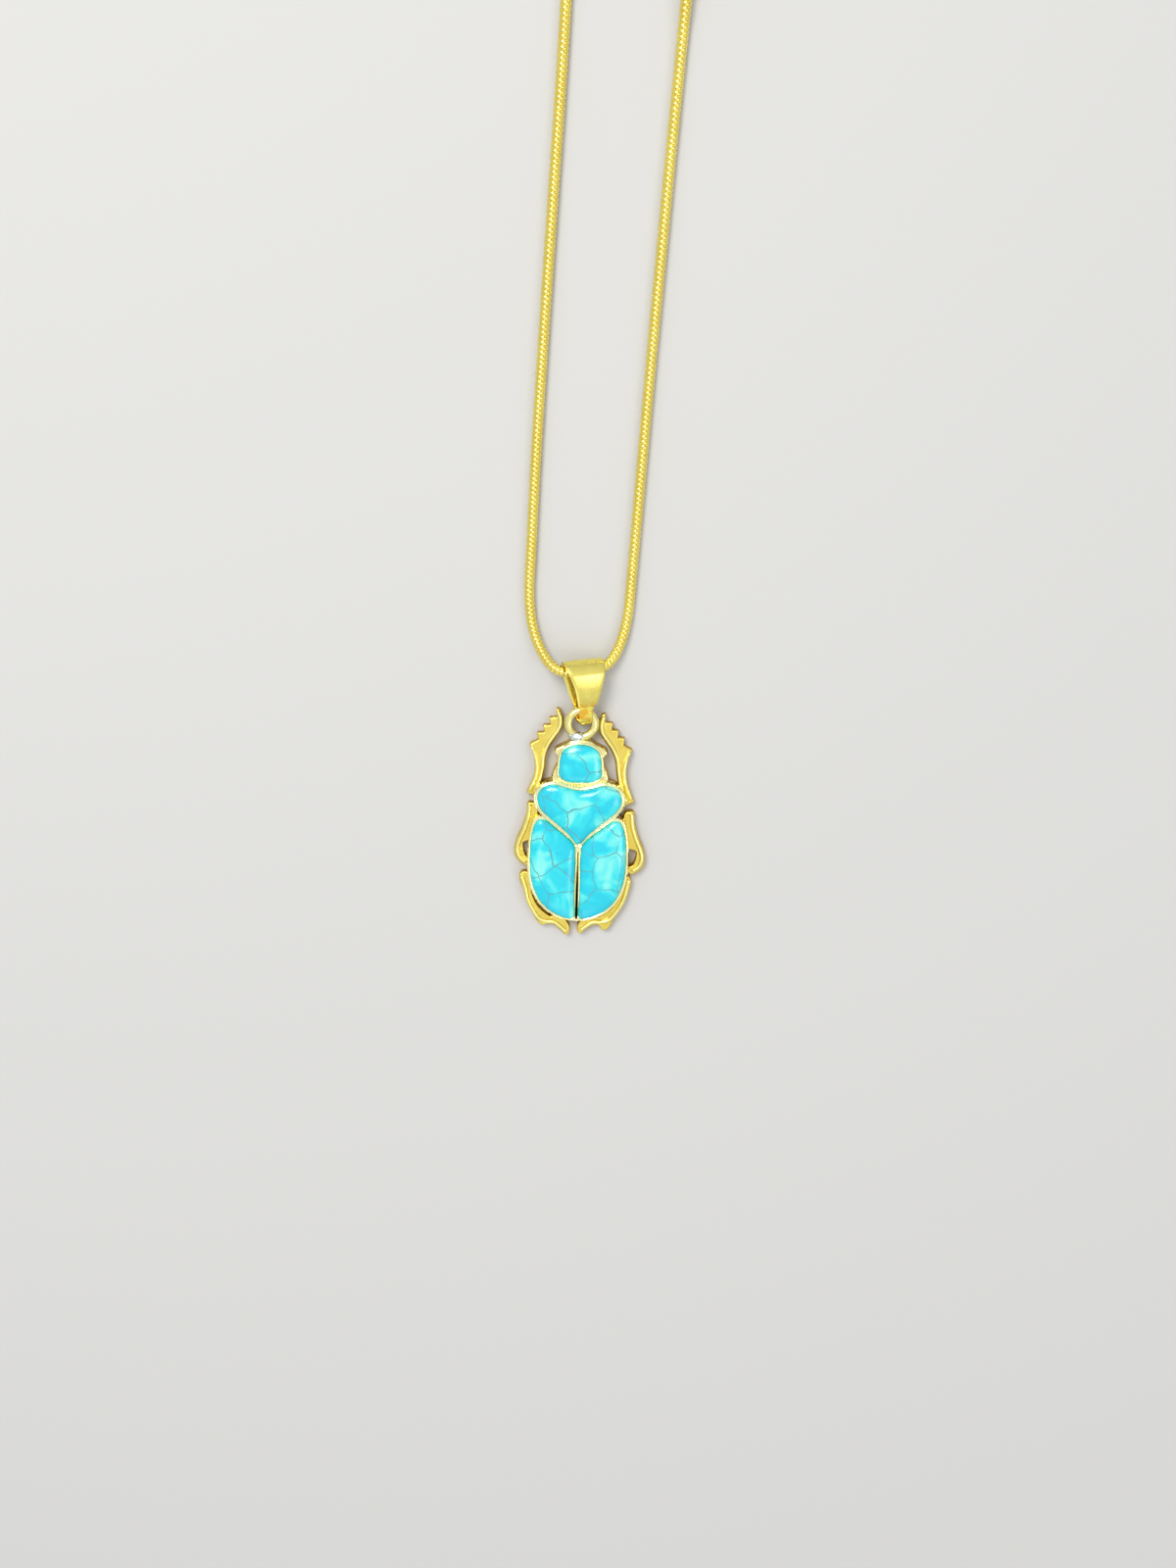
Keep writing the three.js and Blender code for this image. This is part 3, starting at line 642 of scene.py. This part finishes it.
def casting_mesh(name):
    """The casting's top over its flat back, with upright sides between them."""
    square = kept[:-1, :-1] & kept[1:, :-1] & kept[1:, 1:] & kept[:-1, 1:]
    middle = (outer_edge[:-1, :-1] + outer_edge[1:, :-1] + outer_edge[1:, 1:] + outer_edge[:-1, 1:]) / 4
    square &= middle < edge_slack * grid_step
    used = np.zeros(kept.shape, bool)
    for rows, columns in ((slice(0, -1), slice(0, -1)), (slice(1, None), slice(0, -1)),
                          (slice(1, None), slice(1, None)), (slice(0, -1), slice(1, None))):
        used[rows, columns] |= square
    number = np.full(kept.shape, -1)
    number[used] = np.arange(used.sum())
    count = int(used.sum())
    top = np.stack([cast_x[used], cast_y[used], cast_top[used]], 1)
    back = np.stack([cast_x[used], cast_y[used], np.zeros(count)], 1)
    a, b = number[:-1, :-1][square], number[:-1, 1:][square]
    c, d = number[1:, 1:][square], number[1:, :-1][square]
    # the sides stand on the edges that only one square has
    faces = np.stack([a, b, c, d], 1).tolist() + (np.stack([d, c, b, a], 1) + count).tolist()
    edges = set()
    for quad in zip(a.tolist(), b.tolist(), c.tolist(), d.tolist()):
        for k in range(4):
            edge = (quad[k], quad[(k + 1) % 4])
            if (edge[1], edge[0]) in edges:
                edges.discard((edge[1], edge[0]))
            else:
                edges.add(edge)
    faces += [(p, p + count, q + count, q) for p, q in sorted(edges)]
    return build_piece(name, np.vstack([top, back]) * 0.001, faces, 50)


def cast_gold_plate(name):
    """Gold plate on a casting: polished on walls and beads, satin on the plates, and coloured by height: a
    painted highlight of pale cream on the high walls and beads, painted shade of deeper gold on the low
    plates.
    """
    material, tree = new_material(name)
    place = add_node(tree, "ShaderNodeTexCoord")
    split_place = add_node(tree, "ShaderNodeSeparateXYZ", links={0: place.outputs["Object"]})
    level = add_node(tree, "ShaderNodeMapRange", {"From Min": 0.0, "From Max": 0.003},
                     {"Value": split_place.outputs["Z"]})
    blotch = add_node(tree, "ShaderNodeTexNoise", {"Scale": 1 / 0.0009, "Detail": 3.0},
                      {"Vector": place.outputs["Object"]})
    drift = add_node(tree, "ShaderNodeMapRange", {"To Min": -0.05, "To Max": 0.05},
                     {"Value": blotch.outputs[0]})
    drifted = add_node(tree, "ShaderNodeMath", {"operation": "ADD"},
                       {0: level.outputs[0], 1: drift.outputs[0]})
    # painted light by height: painted shade, deeper gold, low on the plates and seats, and a painted
    # highlight, pale cream, up on the walls and beads
    painted_light_by_height = add_node(tree, "ShaderNodeValToRGB", links={"Fac": drifted.outputs[0]})
    painted_light_by_height.color_ramp.elements[0].position = 0.36
    painted_light_by_height.color_ramp.elements[0].color = linear("#C9A544")
    painted_light_by_height.color_ramp.elements[1].position = 0.9
    painted_light_by_height.color_ramp.elements[1].color = linear("#FFF9C2")
    for height, code in ((0.46, "#E6CC5C"), (0.53, "#F6E478"), (0.6, "#FFF7A4"), (0.72, "#FBEC98")):
        painted_light_by_height.color_ramp.elements.new(height).color = linear(code)
    # painted shade in the rib's groove: dark brown laid down its middle from the front of the groove, and
    # darker towards the tail
    aside = add_node(tree, "ShaderNodeMath", {"operation": "ABSOLUTE"}, {0: split_place.outputs["X"]})
    in_groove = add_node(tree, "ShaderNodeMapRange",
                         {"From Min": 0.00005, "From Max": groove_half_width * 0.001,
                          "To Min": 1.0, "To Max": 0.0},
                         {"Value": aside.outputs[0]})
    to_tail = add_node(tree, "ShaderNodeMapRange",
                       {"From Min": -0.0095, "From Max": -0.0045, "To Min": 1.0, "To Max": 0.4},
                       {"Value": split_place.outputs["Y"]})
    past_front = add_node(tree, "ShaderNodeMath", {"operation": "LESS_THAN", 1: groove_shade_front * 0.001},
                          {0: split_place.outputs["Y"]})
    before_tail = add_node(tree, "ShaderNodeMath", {"operation": "GREATER_THAN", 1: groove_rear * 0.001},
                           {0: split_place.outputs["Y"]})
    reached = add_node(tree, "ShaderNodeMath", {"operation": "MULTIPLY"},
                       {0: past_front.outputs[0], 1: before_tail.outputs[0]})
    lined = add_node(tree, "ShaderNodeMath", {"operation": "MULTIPLY"},
                     {0: in_groove.outputs[0], 1: reached.outputs[0]})
    groove_painted_shade = add_node(tree, "ShaderNodeMath", {"operation": "MULTIPLY"},
                     {0: lined.outputs[0], 1: to_tail.outputs[0]})
    # the dark brown mixed in here is painted shade in the groove
    groove_shaded_tones = add_node(tree, "ShaderNodeMix", {"data_type": "RGBA", 7: linear("#4A3C14")},
                    {0: groove_painted_shade.outputs[0], 6: painted_light_by_height.outputs[0]})
    polish = add_node(tree, "ShaderNodeMapRange",
                      {"From Min": 0.46, "From Max": 0.8, "To Min": 0.36, "To Max": 0.17},
                      {"Value": drifted.outputs[0]})
    grain = add_node(tree, "ShaderNodeTexNoise", {"Scale": 1 / 0.00035, "Detail": 2.0},
                     {"Vector": place.outputs["Object"]})
    bump = add_node(tree, "ShaderNodeBump", {"Strength": 0.4, "Distance": 0.000012},
                    {"Height": grain.outputs[0]})
    surface = add_node(tree, "ShaderNodeBsdfPrincipled", {"Metallic": 1.0},
                       {"Base Color": groove_shaded_tones.outputs[2], "Roughness": polish.outputs[0],
                        "Normal": bump.outputs[0]})
    finish_material(tree, surface)
    return material


scarab_casting = casting_mesh("scarab_casting")
scarab_casting.data.materials.append(cast_gold_plate("cast_gold_plate"))
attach(scarab_casting, "root")
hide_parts("scarab_frame")


# Turquoise stones
# Four pieces of bright blue turquoise, sawn to the shape of their cells, domed and polished to a
# wet gloss, and cemented in. Thin grey-brown matrix veins run through the stone.
stone_gap = 0.07
stone_edge_drop = 0.12
head_rise = 0.75
pronotum_rise = 0.9
wing_rise = 0.85
dome_rows = 27
dome_reach = 0.92
dome_fullness = 0.8
vein_spacing = 0.0046
patch_size = 0.0035


def domed_stone(name, outline, wall, rise):
    """Upright sides in the cell, and a dome that is steep at its rim and flat in the middle."""
    middle = outline.mean(axis=0)
    edge = wall - stone_edge_drop
    top = wall + rise
    rings = [(1.0, seat_height + stone_gap), (1.0, edge - 0.02)]
    for k in range(dome_rows):
        turn = k / dome_rows * math.pi / 2
        climb = math.sin(turn) ** dome_fullness
        rings.append((math.cos(turn) ** dome_reach, edge + (top - edge) * climb))
    points = []
    for share, height in rings:
        ring = middle + (outline - middle) * share
        points.append(np.column_stack([ring, np.full(len(outline), height)]))
    turning = np.sum(outline[:, 0] * np.roll(outline[:, 1], -1) - np.roll(outline[:, 0], -1) * outline[:, 1])
    faces = rings_to_faces(len(rings), len(outline))
    if turning < 0:
        faces = [list(reversed(f)) for f in faces]
    return build_piece(name, np.vstack(points) * 0.001, faces, 60)


def polished_turquoise(name, shift):
    """Opaque blue stone with drifting paler and deeper patches, thin veins and a wet polish."""
    material, tree = new_material(name)
    place = add_node(tree, "ShaderNodeTexCoord")
    moved = add_node(tree, "ShaderNodeMapping", {"Location": (shift, shift * 0.7, 0.0)},
                     {"Vector": place.outputs["Object"]})
    patch = add_node(tree, "ShaderNodeTexNoise", {"Scale": 1 / patch_size, "Detail": 2.0, "Distortion": 0.6},
                     {"Vector": moved.outputs[0]})
    blues = add_node(tree, "ShaderNodeValToRGB", links={"Fac": patch.outputs[0]})
    blues.color_ramp.elements[0].position = 0.4
    blues.color_ramp.elements[0].color = linear("#00C2D6")
    blues.color_ramp.elements[1].position = 0.68
    blues.color_ramp.elements[1].color = linear("#7CE4DA")
    blues.color_ramp.elements.new(0.5).color = linear("#22D2DA")
    bend = add_node(tree, "ShaderNodeTexNoise", {"Scale": 1 / 0.003, "Detail": 3.0},
                    {"Vector": moved.outputs[0]})
    bent = add_node(tree, "ShaderNodeMix", {"data_type": "RGBA", "blend_type": "LINEAR_LIGHT", 0: 0.0009},
                    {6: moved.outputs[0], 7: bend.outputs[1]})
    cells = add_node(tree, "ShaderNodeTexVoronoi",
                     {"voronoi_dimensions": "2D", "feature": "DISTANCE_TO_EDGE", "Scale": 1 / vein_spacing},
                     {"Vector": bent.outputs[2]})
    vein = add_node(tree, "ShaderNodeMapRange",
                    {"From Min": 0.008, "From Max": 0.028, "To Min": 1.0, "To Max": 0.0},
                    {"Value": cells.outputs[0]})
    broken = add_node(tree, "ShaderNodeTexNoise", {"Scale": 1 / 0.0022, "Detail": 1.0},
                      {"Vector": moved.outputs[0]})
    faded = add_node(tree, "ShaderNodeMapRange",
                     {"From Min": 0.32, "From Max": 0.55, "To Min": 0.45, "To Max": 1.0},
                     {"Value": broken.outputs[0]})
    shown = add_node(tree, "ShaderNodeMath", {"operation": "MULTIPLY"},
                     {0: vein.outputs[0], 1: faded.outputs[0]})
    stone_colour = add_node(tree, "ShaderNodeMix", {"data_type": "RGBA", 7: linear("#4E9BA2")},
                            {0: shown.outputs[0], 6: blues.outputs[0]})
    bump = add_node(tree, "ShaderNodeBump", {"Strength": 0.25, "Distance": 0.00003, "invert": True},
                    {"Height": shown.outputs[0]})
    surface = add_node(tree, "ShaderNodeBsdfPrincipled",
                       {"Roughness": 0.16, "IOR": 1.61},
                       {"Base Color": stone_colour.outputs[2], "Normal": bump.outputs[0]})
    finish_material(tree, surface)
    return material


# each stone is cut from another place in the rough, so the pattern is shifted from stone to stone
for stone_name, node, outline, wall, rise, shift in (
    ("turquoise_head", "head_stone", head_stone_outline, head_wall, head_rise, 0.031),
    ("turquoise_thorax", "pronotum_stone", pronotum_stone_outline, pronotum_wall, pronotum_rise, 0.052),
    ("turquoise_left_wing", "left_wing_stone", left_wing_outline, wing_wall, wing_rise, 0.0),
    ("turquoise_right_wing", "right_wing_stone", right_wing_outline, wing_wall, wing_rise, 0.017),
):
    stone = domed_stone(stone_name, outline, wall, rise)
    stone.data.materials.append(polished_turquoise("polished_" + stone_name, shift))
    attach(stone, "root")
    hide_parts(node)


# Jump ring
# A closed ring of round gold-plated wire, soldered to the front of the head. The seam of silver
# solder was left rough and shows pale, because the plating did not take on it.
ring_wire = 1.05
ring_outer = 4.85
ring_height = 1.93
ring_lap = 0.17
# the plating and polish swell the wire a little past its bare size, where the bail leaves it room
ring_plating = 0.06
ring_radius = (ring_outer - ring_wire) / 2
ring_centre_y = head_case_half[0][1] - ring_lap + ring_outer / 2


def tube_faces(rings, around, backwards=False):
    """Faces of a tube that closes on itself."""
    faces = []
    for k in range(rings):
        here, after = k * around, (k + 1) % rings * around
        for j in range(around):
            quad = [here + j, after + j, after + (j + 1) % around, here + (j + 1) % around]
            faces.append(quad[:1] + quad[:0:-1] if backwards else quad)
    return faces


def ring_mesh(name):
    """Round wire bent into a closed ring that lies level on the front of the head."""
    around, section = 96, 28
    wire_radius = ring_wire / 2 + ring_plating
    points = []
    for k in range(around):
        turn = 2 * math.pi * k / around
        for j in range(section):
            roll = 2 * math.pi * j / section
            reach = ring_radius + wire_radius * math.cos(roll)
            points.append((reach * math.cos(turn), ring_centre_y + reach * math.sin(turn),
                           ring_height + wire_radius * math.sin(roll)))
    return build_piece(name, np.array(points) * 0.001, tube_faces(around, section), 60)


jump_ring = ring_mesh("wire_ring")
jump_ring.data.materials.append(
    plated_gold("jump_ring_gold", "#FAF3B0", "#F0E184", 0.18, 0.0005, 0.000005))
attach(jump_ring, "root")
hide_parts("jump_ring")

solder_centre = (-0.62, 13.92, 2.12)
solder_reach = (1.15, 0.68, 0.68)
solder_lumps = 0.132
solder_ripples = 0.6


def solder_seam(name):
    """A lumpy fillet of solder in the angle between the ring's wire and the rim of the head."""
    around, rows = 40, 22
    points = []
    for row in range(rows):
        tilt = math.pi * (row + 0.5) / rows
        for k in range(around):
            turn = 2 * math.pi * k / around
            way = (math.sin(tilt) * math.cos(turn), math.sin(tilt) * math.sin(turn), math.cos(tilt))
            lump = math.sin(5.1 * way[0] + 1.3) * math.sin(6.7 * way[1] + 0.4) * math.cos(4.3 * way[2])
            lump += solder_ripples * math.sin(11 * way[0] - 7 * way[1] + 9 * way[2])
            reach = 1 + solder_lumps * lump
            points.append([c + r * w * reach for c, r, w in zip(solder_centre, solder_reach, way)])
    return build_piece(name, np.array(points) * 0.001, rings_to_faces(rows, around), 70)


def bare_silver_solder(name):
    """Silver solder without plating: cool and pale and pitted, with painted shade in its hollows, where its
    colour turns greyer as the bump sinks.
    """
    material, tree = new_material(name)
    place = add_node(tree, "ShaderNodeTexCoord")
    pits_and_painted_shade = add_node(tree, "ShaderNodeTexNoise", {"Scale": 1 / 0.0004, "Detail": 3.0},
                    {"Vector": place.outputs["Object"]})
    # the grey end of this mix is painted shade in the pits, from the same noise that sinks them in the bump
    tone = add_node(tree, "ShaderNodeMix",
                    {"data_type": "RGBA", 6: linear("#B9C4CC"), 7: linear("#FBFDFF")},
                    {0: pits_and_painted_shade.outputs[0]})
    bump = add_node(tree, "ShaderNodeBump", {"Strength": 0.6, "Distance": 0.00005},
                    {"Height": pits_and_painted_shade.outputs[0]})
    surface = add_node(tree, "ShaderNodeBsdfPrincipled", {"Metallic": 1.0, "Roughness": 0.34},
                       {"Base Color": tone.outputs[2], "Normal": bump.outputs[0]})
    finish_material(tree, surface)
    return material


ring_solder = solder_seam("ring_solder_seam")
ring_solder.data.materials.append(bare_silver_solder("bare_silver_solder"))
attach(ring_solder, "root")


# Bail
# A strap of gold-plated sheet, wide at the top and folded over the chain, that narrows to a small
# soldered loop through the jump ring. The front flap ends in a step, and the loop is a deeper gold.
bail_thickness = 0.42
bail_top_radius = 1.9
bail_ring_play = 0.53
bail_sag = 0.775
bail_length = 6.4
bail_top_width = 6.0
bail_foot_width = 1.95
bail_loop_width = 2.3
bail_shift = 0.28
bail_yaw = math.radians(17)
bail_pitch = math.radians(8.4)
bail_roll = math.radians(3.2)
bail_edge_roll = 0.35
# the strap's taper: height above the loop's middle, and the share of the way from foot width to top width
bail_taper = [(1.2, 0.02), (1.9, 0.22), (2.6, 0.38), (3.4, 0.5), (4.2, 0.6), (5.9, 0.82), (7.8, 0.97)]
# the front flap ends in a step, bellies out a little, and leaves more of the back strap seen on its left
bail_flap_start = 1.85
bail_flap_step = 0.2
bail_flap_swell = 0.26
bail_swell_start = 0.3
bail_swell_span = 6.0
bail_flap_trim = 0.45
bail_flap_trim_span = 6.6
bail_edge_trim = 0.18
bail_edge_trim_fade = 1.5
bail_foot_inner = ring_wire / 2 + bail_ring_play
bail_foot_radius = bail_foot_inner + bail_thickness
bail_foot_place = (bail_shift, ring_centre_y + ring_radius - bail_sag, ring_height)


def strap_path(foot_radius, top_radius, count):
    """The closed path of the folded strap, seen from the side, starting in the middle of its back."""
    lean = math.asin((top_radius - foot_radius) / bail_length)
    back = (bail_length * 0.5, -(top_radius + foot_radius) / 2)
    path = [back]
    for k in range(25):
        turn = math.pi + lean - k / 24 * (math.pi + 2 * lean)
        path.append((bail_length + top_radius * math.sin(turn), top_radius * math.cos(turn)))
    for k in range(21):
        turn = 2 * math.pi - lean - k / 20 * (math.pi - 2 * lean)
        path.append((foot_radius * math.sin(turn), foot_radius * math.cos(turn)))
    path = np.array(path)
    closed = np.vstack([path, path[:1]])
    along = np.concatenate([[0], np.cumsum(np.linalg.norm(np.diff(closed, axis=0), axis=1))])
    wanted = np.linspace(0, along[-1], count + 1)[:-1]
    return np.stack([np.interp(wanted, along, closed[:, i]) for i in range(2)], 1)


def bail_mesh(name):
    """A rounded strap section carried round the path; its breadth follows the height of the bail."""
    count = 220
    outer = strap_path(bail_foot_radius, bail_top_radius, count)
    inner = strap_path(bail_foot_inner, bail_top_radius - bail_thickness, count)
    foot, top = bail_foot_width / 2, bail_top_width / 2
    tip = -(bail_foot_radius + bail_foot_inner) / 2
    heights = [tip + foot] + [height for height, _ in bail_taper] + [bail_length + bail_top_radius + 1]
    breadths = [foot] + [foot + (top - foot) * share for _, share in bail_taper] + [top]
    points = []
    section = 14
    for (oy, oz), (iy, iz) in zip(outer, inner):
        height = (oy + iy) / 2
        half = float(np.interp(height, heights, breadths))
        if height < tip + foot:
            half = foot * math.sqrt(max(0.02, 1 - ((height - tip - foot) / foot) ** 2))
        front_low = oz > 0 and oy < bail_flap_start
        if front_low:
            half = min(half, bail_loop_width / 2)
        above_loop = height - bail_taper[0][0]
        trim = bail_edge_trim * min(1.0, max(0.0, above_loop / bail_edge_trim_fade))
        if oz > 0:
            trim += bail_flap_trim * math.sin(math.pi * min(1.0, max(0.0, above_loop / bail_flap_trim_span)))
        cut = bail_flap_step if front_low else 0.0
        share = cut / bail_thickness
        oy, oz = oy + (iy - oy) * share, oz + (iz - oz) * share
        if oz > 0 and oy > bail_flap_start:
            up_flap = (oy - bail_flap_start + bail_swell_start) / bail_swell_span
            swell = bail_flap_swell * math.sin(math.pi * min(1.0, up_flap))
            oz, iz = oz + swell, iz + swell
        for j in range(section):
            # seven places on the outer face and seven on the inner face, crowded towards the rolled edges
            turn = 2 * math.pi * (j + 0.5) / section
            across = math.copysign(min(1.0, abs(math.cos(turn)) ** bail_edge_roll), math.cos(turn))
            through = 0.5 + 0.5 * math.copysign(abs(math.sin(turn)) ** bail_edge_roll, math.sin(turn))
            breadth = half - trim if across < 0 else half
            points.append((breadth * across, iy + (oy - iy) * through, iz + (oz - iz) * through))
    faces = tube_faces(count, section, backwards=True)
    lie = (Matrix.Translation(bail_foot_place) @ Matrix.Rotation(bail_roll, 4, "Z")
           @ Matrix.Rotation(bail_pitch, 4, "X") @ Matrix.Rotation(bail_yaw, 4, "Y"))
    placed = [(lie @ Vector(p)) * 0.001 for p in points]
    return build_piece(name, placed, faces, 45)


def folded_bail_gold(name):
    """Brushed gold sheet; where the loop was soldered the plating is a deeper, warmer orange gold."""
    material, tree = new_material(name)
    place = add_node(tree, "ShaderNodeTexCoord")
    split_place = add_node(tree, "ShaderNodeSeparateXYZ", links={0: place.outputs["Object"]})
    cloud = add_node(tree, "ShaderNodeTexNoise", {"Scale": 1 / 0.0012, "Detail": 2.0},
                     {"Vector": place.outputs["Object"]})
    wander = add_node(tree, "ShaderNodeMapRange", {"To Min": -0.0008, "To Max": 0.0008},
                      {"Value": cloud.outputs[0]})
    along = add_node(tree, "ShaderNodeMath", {"operation": "ADD"},
                     {0: split_place.outputs["Y"], 1: wander.outputs[0]})
    # the heat of the soldering reached just above the loop, to 19 mm from the middle of the wing cases
    heated = add_node(tree, "ShaderNodeMapRange",
                      {"From Min": 0.0186, "From Max": 0.0194, "To Min": 1.0, "To Max": 0.0},
                      {"Value": along.outputs[0]})
    sheet = add_node(tree, "ShaderNodeMix", {"data_type": "RGBA", 6: linear("#FFF486"), 7: linear("#EBD466")},
                     {0: cloud.outputs[0]})
    spots = add_node(tree, "ShaderNodeTexNoise", {"Scale": 1 / 0.0008, "Detail": 1.0},
                     {"Vector": place.outputs["Object"]})
    spot_share = add_node(tree, "ShaderNodeMapRange", {"From Min": 0.42, "From Max": 0.58},
                          {"Value": spots.outputs[0]})
    loop_tone = add_node(tree, "ShaderNodeMix",
                         {"data_type": "RGBA", 6: linear("#F6E56A"), 7: linear("#F4BE44")},
                         {0: spot_share.outputs[0]})
    tone = add_node(tree, "ShaderNodeMix", {"data_type": "RGBA"},
                    {0: heated.outputs[0], 6: sheet.outputs[2], 7: loop_tone.outputs[2]})
    stretch = add_node(tree, "ShaderNodeMapping", {"Scale": (1 / 0.02, 1 / 0.00016, 1 / 0.0006)},
                       {"Vector": place.outputs["Object"]})
    brushed = add_node(tree, "ShaderNodeTexNoise", {"Scale": 1.0, "Detail": 2.0},
                       {"Vector": stretch.outputs[0]})
    polish = add_node(tree, "ShaderNodeMapRange", {"To Min": 0.18, "To Max": 0.34},
                      {"Value": brushed.outputs[0]})
    bump = add_node(tree, "ShaderNodeBump", {"Strength": 0.3, "Distance": 0.000006},
                    {"Height": brushed.outputs[0]})
    surface = add_node(tree, "ShaderNodeBsdfPrincipled", {"Metallic": 1.0},
                       {"Base Color": tone.outputs[2], "Roughness": polish.outputs[0],
                        "Normal": bump.outputs[0]})
    finish_material(tree, surface)
    return material


folded_bail = bail_mesh("folded_bail")
folded_bail.data.materials.append(folded_bail_gold("folded_bail_gold"))
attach(folded_bail, "root")
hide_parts("bail")
